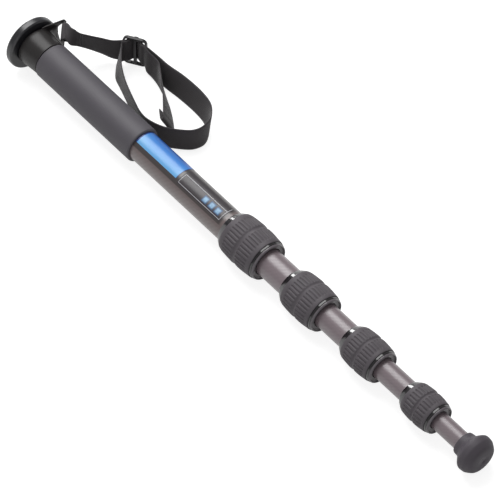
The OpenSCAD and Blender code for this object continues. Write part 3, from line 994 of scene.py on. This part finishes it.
@dataclass
class Foot:
    """Rubber foot on its screw."""

    points_round: int = 128
    steps: int = 3
    neck_r: float = 10.2 * MM
    bore_r: float = 8.1 * MM
    hollow: float = 4.4 * MM
    centre_r: float = 0.001 * MM
    neck: Profile = (
        (0.07, -0.6), (0.08, -0.2), (0.1, 0.0), (0.15, 0.2), (0.23, 0.42), (0.27, 0.62),
    )
    bulb: Profile = (
        (0.335, 4.9), (0.37, 3.9), (0.41, 2.8), (0.45, 1.75), (0.485, 0.95), (0.515, 0.45),
        (0.545, 0.12), (0.575, 0.0), (0.61, 0.03), (0.66, 0.14), (0.71, 0.3), (0.74, 0.48),
        (0.77, 0.85), (0.83, 1.75), (0.89, 2.75), (0.935, 3.7), (0.97, 5.2), (0.992, 7.4),
        (1.0, 10.5),
    )

    def rubber(self) -> Piece:
        """Builds the smooth rubber foot.

        Returns:
            The foot.
        """
        low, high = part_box("rubber_foot")
        start, length = low[0], high[0] - low[0]
        outer = [(start + s * length, self.neck_r + rise * MM) for s, rise in self.neck]
        outer += [(start + s * length, high[2] - drop * MM) for s, drop in self.bulb]
        profile = [
            *smooth_line(outer, self.steps),
            (high[0], self.centre_r), (start + self.hollow, self.centre_r),
            (start + self.hollow, self.bore_r), (outer[0][0], self.bore_r),
        ]
        mesh = Mesh()
        mesh.grid(revolve(profile, self.points_round), closed=True)
        return mesh.piece("foot_rubber_moulded", Look.FOOT)

    def build(self) -> None:
        """Makes and dresses the foot."""
        paint_nodes(foot_insert=Look.INSERT, foot_screw=Look.SCREW)
        put(self.rubber(), "foot", "foot_rubber", "rubber_foot")


@dataclass(frozen=True)
class RestingPlane:
    """Surface under the plate's rim and the foot, in millimetres."""

    plate_r: float = 24.6
    foot_r: float = 16.7
    plate_x: float = 6.3
    foot_x: float = 556.25

    def slope(self) -> float:
        """Rise of the surface along the tube, in the tube's frame."""
        return (self.plate_r - self.foot_r) / (self.foot_x - self.plate_x)

    def height(self, x: float | np.ndarray) -> float | np.ndarray:
        """Height of the surface at x, in millimetres."""
        return -self.plate_r + self.slope() * x


@dataclass
class WristStrap:
    """Webbing round the ear's bar, through the slider and back, in millimetres."""

    thickness: float = 1.2
    width: float = 25.0
    selvedge: float = 0.55
    selvedge_power: int = 10
    slider_at: tuple[float, float] = (63.3, 65.2)
    slider_turn: float = math.radians(32)
    weave_lift: float = 4.8
    rail_at: float = 9.9
    weave: float = 3.5
    strand: float = 0.8
    weave_steps: int = 4
    slider_voxel: float = 0.22
    slider_rounds: int = 8
    ear_roll: float = math.radians(25)
    ear_tip: tuple[float, float] = (13.4, 32.0)
    ear_foot: tuple[float, float] = (29.2, 15.0)
    ear_round: float = 2.0
    ear_width: float = 15.4
    ear_middle: float = 10.2
    steps: int = 8
    columns: int = 14
    seams: tuple[tuple[float, int, float, bool], ...] = (
        (14.125, 24, 0.9, True), (14.375, 24, 0.9, True),
        (61.9, 6, 1.4, False), (62.6, 6, 1.4, False), (66.3, 6, 1.4, False), (66.7, 6, 1.4, False),
    )
    seam_margin: float = 0.06
    thread_r: float = 0.3
    thread_blunt: float = 0.02
    thread_rings: int = 7
    thread_points: int = 6
    plane: RestingPlane = RestingPlane()

    def weave_rows(self, side: int) -> list[list[float]]:
        """Stations of one strand through the slider.

        Args:
            side: -1 for the first strand, 1 for the second.

        Returns:
            Rows of the route.
        """
        cos, sin = math.cos(self.slider_turn), math.sin(self.slider_turn)
        rows = []
        for k in range(-self.weave_steps, self.weave_steps + 1):
            along = k / self.weave_steps * self.rail_at
            phase = math.pi * along / self.rail_at
            out = -self.weave * math.cos(phase)
            tilt = math.atan(self.weave * math.sin(phase) * math.pi / self.rail_at)
            p = along - side * self.strand * math.sin(tilt)
            q = out + side * self.strand * math.cos(tilt)
            x = self.slider_at[0] + p * cos + q * sin
            y = self.slider_at[1] + p * sin - q * cos
            rows.append([x, y, self.weave_lift, 0, 0, 1, self.width])
        return rows

    def bar_row(self, out: float, up: float) -> list[float]:
        """Station of the webbing round the ear's bar.

        Args:
            out: distance from the bar's outer edge, away from the tube.
            up: distance from the middle of the ear's plate.

        Returns:
            A row of the route.
        """
        tip, foot = np.array(self.ear_tip), np.array(self.ear_foot)
        run = unit(foot - tip)
        away = np.array([-run[1], run[0]])
        x, r = tip + (self.ear_round + out) * away + self.ear_middle * run
        cos, sin = math.cos(self.ear_roll), math.sin(self.ear_roll)
        lean = np.array([-run[0], -run[1] * cos, -run[1] * sin])
        place = np.array([x, r * cos - up * sin, r * sin + up * cos])
        place = place - lean * self.ear_width / 2
        rise = place[2] - self.plane.height(place[0])
        return [place[0], place[1], rise, *lean, self.ear_width]

    def route(self) -> list[list[float]]:
        """The webbing's route.

        Returns:
            Rows of the place of its lower edge, that edge's height over the resting plane,
            the direction of its width, and its width, in millimetres.
        """
        w, ear = self.width, self.ear_width
        around = [
            (0, -2.6), (-1.5, -2.05), (-2.6, -1.4), (-2.85, 0), (-2.6, 1.4),
            (-1.4, 2), (-0.1, 1.95), (1.2, 1),
        ]
        first = [
            [32.2, 39.3, 12.9, 0.16, -0.1, 1, ear + 2],
            [29.4, 31.4, 20, 0.13, 0.02, 1, ear],
            [29.6, 27.2, 23.8, -0.3, 0.25, 0.9, ear - 3],
            [*self.bar_row(3, -4.2)[:6], ear - 3.4],
            *[self.bar_row(out, up) for out, up in around],
            [31.2, 21, 28.6, -0.4, 0.4, 0.8, ear],
            [31.6, 25.5, 24.6, -0.13, 0.16, 1, ear + 1.5],
            [31, 30, 20.2, 0.12, 0, 1, ear + 3.5],
            [34, 38.6, 13, 0.16, -0.12, 1, ear + 7.6],
            [41, 46.5, 7.6, 0.12, -0.08, 1, ear + 8.4],
            [48.6, 52.8, 3.4, 0.05, -0.05, 1, w],
        ]
        loop = [
            [80.5, 67, 3.4, 0.03, 0.1], [88.5, 67.2, 1.2, 0.03, 0.16],
            [99.5, 66.9, 0.3, 0.03, 0.21], [118, 68.3, 0.2, 0, 0.25],
            [138, 68.5, 0.2, 0.05, 0.25], [153, 66.5, 0.2, 0.1, 0.2],
            [165, 60.5, 0.2, 0.05, 0.1], [170.5, 52, 0.2, 0, 0],
            [169.5, 43, 0.2, 0, 0], [164, 35.5, 0.2, 0, 0],
            [152, 26, 0.2, 0, 0], [138, 20.8, 0.2, 0, 0],
            [126, 20.5, 0.2, 0, 0], [110, 25.5, 0.2, 0, 0],
            [92, 32.3, 0.2, 0, 0], [77, 37.6, 0.2, 0.05, 0.07],
            [67, 41, 0.4, 0.11, 0.17], [60.4, 46, 1.2, 0.15, 0.16],
            [55.8, 51.8, 3.4, 0.14, 0.1],
        ]
        tail = [
            [79.5, 64.5, 3.8, 0.03, 0.08], [86, 64.8, 2.2, 0.02, 0.1],
            [92, 64.4, 1.2, 0.03, 0.1], [98, 63, 0.8, 0, 0.04],
            [105, 60.8, 0.7, -0.04, -0.04], [113, 58.4, 0.7, -0.1, -0.14],
            [123.6, 54, 0.8, -0.12, -0.24], [134, 48, 1.3, -0.12, -0.34],
            [142, 42.6, 1.5, -0.1, -0.42], [143.8, 40.6, 1, -0.1, -0.44],
            [142.6, 39.7, 0.5, -0.1, -0.44], [139.8, 41.4, 0.3, -0.1, -0.44],
            [133.4, 45.8, 0.2, -0.1, -0.44],
        ]
        loop, tail = ([[*row, 1, w] for row in rows] for rows in (loop, tail))
        return [*first, *self.weave_rows(-1), *loop, *self.weave_rows(1), *tail]

    def stations(self) -> tuple[np.ndarray, np.ndarray, np.ndarray, np.ndarray]:
        """Works out the webbing's stations.

        Returns:
            Lower edge, direction of the width, direction of the thickness, and width,
            in millimetres.
        """
        rows = smooth_line(self.route(), self.steps)
        foot = rows[:, :3].copy()
        foot[:, 2] += self.plane.height(foot[:, 0])
        lean = unit(rows[:, 3:6])
        middle = foot + lean * rows[:, 6:] / 2
        ahead = np.gradient(middle, axis=0)
        return foot, lean, unit(np.cross(ahead, lean)), rows[:, 6]

    def webbing(self) -> tuple[Piece, float, float]:
        """Builds the webbing.

        Returns:
            The piece, its length and its flat area, in metres.
        """
        foot, lean, side, width = self.stations()
        share = np.linspace(0, 1, self.columns)
        edge = 1 - self.selvedge * np.abs(2 * share - 1) ** self.selvedge_power
        half = self.thickness / 2 * edge
        ring_share = np.concatenate([share, share[::-1]])
        ring_half = np.concatenate([half, -half[::-1]])
        rows = foot[:, None] + lean[:, None] * (ring_share * width[:, None])[:, :, None]
        rows = rows + side[:, None] * ring_half[:, None]
        mesh = Mesh()
        mesh.grid(rows * MM)
        count, ring = len(rows), 2 * self.columns
        for first in (0, (count - 1) * ring):
            for k in range(self.columns - 1):
                a, b = first + k, first + ring - 1 - k
                mesh.faces.append((a, a + 1, b - 1, b))
        piece = mesh.piece("strap_webbing", Look.WEBBING)
        middle = foot + lean * width[:, None] / 2
        gaps = np.linalg.norm(np.diff(middle, axis=0), axis=1)
        run = np.concatenate([[0], np.cumsum(gaps)])
        across = (ring_share - 0.5)[None, :] * width[:, None]
        self._note(piece, "along", np.repeat(run, ring) * MM)
        self._note(piece, "across", (across + self.width / 2).ravel() * MM)
        area = float(np.sum(gaps * (width[1:] + width[:-1]) / 2))
        return piece, float(run[-1]) * MM, area * MM * MM

    def thread(self, mesh: Mesh, middle: np.ndarray, axes: list[np.ndarray]) -> None:
        """Adds one sewing thread that stands out of the webbing by half its thickness.

        Args:
            mesh: the mesh that it joins.
            middle: its middle, in millimetres.
            axes: its half length and its two half thicknesses, as vectors.
        """
        along = np.linspace(-1, 1, self.thread_rings)
        size = np.sqrt(1 + self.thread_blunt - along * along)
        turn = full_turn(self.thread_points)
        ring = np.cos(turn)[:, None] * axes[1] + np.sin(turn)[:, None] * axes[2]
        rows = middle + along[:, None, None] * axes[0] + size[:, None, None] * ring
        first = mesh.grid(rows * MM)
        last = first + (self.thread_rings - 1) * self.thread_points
        for start in (first, last):
            mesh.faces.append(tuple(range(start, start + self.thread_points)))

    def stitching(self) -> Piece:
        """Builds the tack that closes the webbing round the bar, and the hem at its tail.

        Returns:
            The threads as one piece.
        """
        foot, lean, side, width = self.stations()
        mesh = Mesh()
        for place, count, half_length, lengthwise in self.seams:
            i = round(place * self.steps)
            ahead = unit(foot[i + 1] - foot[i - 1])
            long, cross = (ahead, lean[i]) if lengthwise else (lean[i], ahead)
            axes = [long * half_length, cross * self.thread_r, side[i] * self.thread_r]
            for k in range(count):
                share = self.seam_margin + (1 - 2 * self.seam_margin) * (k + 0.5) / count
                middle = foot[i] + lean[i] * share * width[i]
                for face in (-1, 1):
                    self.thread(mesh, middle + face * side[i] * self.thickness / 2, axes)
        return mesh.piece("strap_stitching", Look.THREAD)

    @staticmethod
    def _note(piece: Piece, name: str, values: np.ndarray) -> None:
        """Keeps a number for each point of a piece's mesh."""
        layer = piece.data.attributes.new(name, "FLOAT", "POINT")
        layer.data.foreach_set("value", values.astype(np.float32))

    def build(self) -> None:
        """Makes the strap and its slider."""
        slider = softened(
            "strap_slider", "strap_slider_moulded", Look.SLIDER,
            self.slider_voxel * MM, self.slider_rounds,
        )
        put(slider, "handle", "slider_black", "strap_slider")
        piece, length, area = self.webbing()
        put(piece, "handle", "webbing_black", "wrist_strap")
        put(self.stitching(), "handle", "webbing_black")
        LOG.info("webbing is %.3f m long", length)


@dataclass
class Studio:
    """Pale floor, soft lamps and the camera at the photograph's angle."""

    camera_at: Triple = (1.64848, -1.18232, 2.25856)
    camera_look: Triple = (-0.469472, 0.408615, -0.782707)
    camera_up: Triple = (-0.600702, 0.501881, 0.622313)
    focal_px: float = 3581.0
    image_px: float = 500.0
    sensor: float = 36.0
    far: float = 20.0
    floor_reach: float = 6.0
    floor_gap: float = 0.2 * MM
    floor_colour: Colour = (0.45, 0.45, 0.45)
    floor_glow: Colour = (0.82, 0.82, 0.82)
    glossy_share: float = 0.55
    world_strength: float = 0.28
    lamp_aim: Triple = (0.28, 0.0, 0.0)
    lamps: tuple[tuple[str, Triple, float, float], ...] = (
        ("key_lamp", (-0.57, 0.32, 1.55), 1.4, 24.0),
        ("fill_lamp", (0.5, -1.7, 1.0), 1.6, 5.0),
        ("glint_lamp", (-1.33, 0.62, 0.22), 0.35, 3.5),
    )

    def camera(self) -> None:
        """Sets up the camera."""
        data = bpy.data.cameras.new("photo_camera")
        data.sensor_width = self.sensor
        data.sensor_fit = "HORIZONTAL"
        data.lens = self.sensor * self.focal_px / self.image_px
        data.clip_end = self.far
        made = new_object("photo_camera", data)
        back = -Vector(self.camera_look).normalized()
        right = Vector(self.camera_up).cross(back).normalized()
        up = back.cross(right)
        turn = Matrix((right, up, back)).transposed()
        made.matrix_world = Matrix.Translation(self.camera_at) @ turn.to_4x4()
        bpy.context.scene.camera = made

    def floor(self) -> None:
        """Lays the pale floor under the monopod."""
        plane = RestingPlane()
        reach = self.floor_reach
        level = plane.height(0) * MM - self.floor_gap
        edges = ((-reach, -reach), (reach, -reach), (reach, reach), (-reach, reach))
        corners = [(x, y, level + plane.slope() * x) for x, y in edges]
        data = bpy.data.meshes.new("floor")
        data.from_pydata(corners, [], [(0, 1, 2, 3)])
        made = new_object("floor", data)
        paint = Paint("floor_pale")
        direct = paint.value("Is Camera Ray", "ShaderNodeLightPath")
        mirrored = paint.value("Is Glossy Ray", "ShaderNodeLightPath")
        seen = paint.maths("MAXIMUM", direct, self.glossy_share * mirrored)
        glow = paint.mix(seen, (0.0, 0.0, 0.0), self.floor_glow)
        paint.set(
            Base_Color=self.floor_colour, Roughness=0.9, Emission_Color=glow, Emission_Strength=1.0
        )
        data.materials.append(paint.material)

    def world(self) -> None:
        """Lights everything evenly."""
        world = bpy.data.worlds.new("studio")
        world.use_nodes = True
        bpy.context.scene.world = world
        back = world.node_tree.nodes["Background"]
        back.inputs["Color"].default_value = (1.0, 1.0, 1.0, 1.0)
        back.inputs["Strength"].default_value = self.world_strength

    def lamp(self, name: str, at: Triple, size: float, power: float) -> None:
        """Hangs a soft square lamp that faces the middle of the object.

        Args:
            name: the lamp's name.
            at: its place.
            size: its side.
            power: in watts.
        """
        data = bpy.data.lights.new(name, "AREA")
        data.size = size
        data.energy = power
        made = new_object(name, data)
        made.location = at
        aim = Vector(self.lamp_aim) - Vector(at)
        made.rotation_euler = aim.to_track_quat("-Z", "Y").to_euler()

    def build(self) -> None:
        """Makes the studio."""
        self.camera()
        self.floor()
        self.world()
        for lamp in self.lamps:
            self.lamp(*lamp)
        bpy.context.scene.view_settings.view_transform = "Standard"


def main() -> None:
    """Builds the looks in order."""
    logging.basicConfig(level=logging.INFO, format="%(name)s: %(message)s")
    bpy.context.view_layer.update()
    Studio().build()
    Head().build()
    Tubes().build()
    for number, ribs in enumerate(LOCK_RIBS, 1):
        TwistLock(number, ribs).build()
    Foot().build()
    WristStrap().build()


if __name__ == "__main__":
    main()
